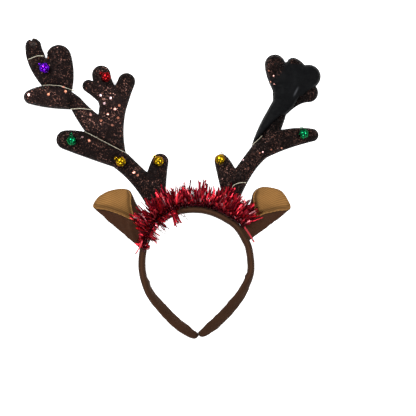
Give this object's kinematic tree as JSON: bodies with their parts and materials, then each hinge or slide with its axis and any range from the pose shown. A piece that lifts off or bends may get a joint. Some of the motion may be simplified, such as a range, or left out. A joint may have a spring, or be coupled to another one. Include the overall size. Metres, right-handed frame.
{
  "type": "antler headband",
  "caption": "Cloth-covered headband loop with padded branching antlers, folded lined ears, tinsel wound along the crown and small jingle bells on the antlers.",
  "frame": {"origin": "rear edge of the band's crown, on the surface that the headband lies on", "axes": "+X to the right of the picture, +Y from the crown along the antlers, +Z towards the front of the headband, away from the surface it lies on"},
  "size_m": [0.3123, 0.3143, 0.0356],
  "materials": {
    "band_cloth": "matt brown woven cloth",
    "antler_cloth": "brown-black cloth with fine sequins",
    "ear_cloth": "matt brown felt",
    "ear_twill": "tan twill",
    "tinsel_foil": "bright red metallised foil",
    "bell_purple": "bright purple lacquer",
    "bell_red": "bright red lacquer",
    "bell_green": "bright green lacquer",
    "bell_gold": "bright gold lacquer"
  },
  "bodies": {
    "root": {"band": "band_cloth", "antler_left": "antler_cloth", "antler_right": "antler_cloth", "ear_outer_left": "ear_cloth", "ear_outer_right": "ear_cloth", "ear_lining_left": "ear_twill", "ear_lining_right": "ear_twill", "tinsel_garland": "tinsel_foil", "bell_purple": "bell_purple", "bell_red": "bell_red", "bell_green_left": "bell_green", "bell_green_right": "bell_green", "bell_gold_stem": "bell_gold", "bell_gold_brow_left": "bell_gold", "bell_gold_brow_right": "bell_gold"}
  },
  "joints": []
}
